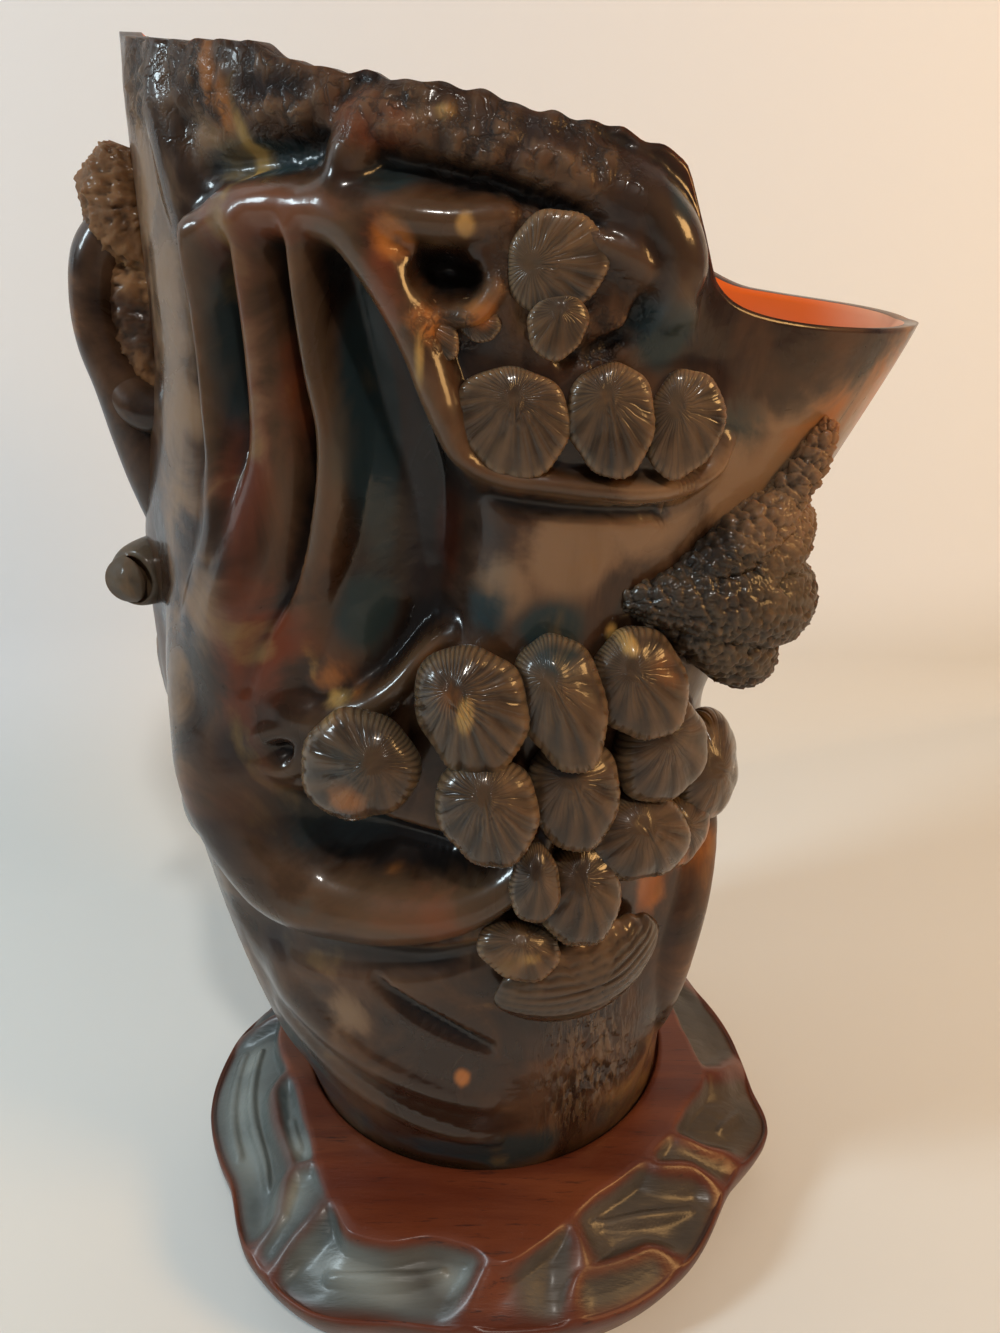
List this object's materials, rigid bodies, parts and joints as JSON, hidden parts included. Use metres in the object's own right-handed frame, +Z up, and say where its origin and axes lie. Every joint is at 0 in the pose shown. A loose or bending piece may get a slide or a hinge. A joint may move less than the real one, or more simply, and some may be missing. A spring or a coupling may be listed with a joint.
{
  "type": "libation cup",
  "caption": "Carved horn libation cup with a low spout, and pine trunk, boughs and needle discs in high relief, seated in a lobed hardwood stand with a scooped border.",
  "frame": {"origin": "on the underside of the stand, below the centre of the cup's round foot", "axes": "+Z up, +X to the side of the cup's spout; the picture is taken from -Y"},
  "size_m": [0.103, 0.0935, 0.162],
  "materials": {
    "stand_wood": "polished",
    "horn": "polished"
  },
  "bodies": {
    "stand": {"stand": "stand_wood"},
    "cup": {"horn_cup": "horn"}
  },
  "joints": [
    {"name": "cup_lift", "type": "slide", "parent": "stand", "child": "cup", "axis": [0, 0, 1], "range_m": [0, 0.03]}
  ]
}
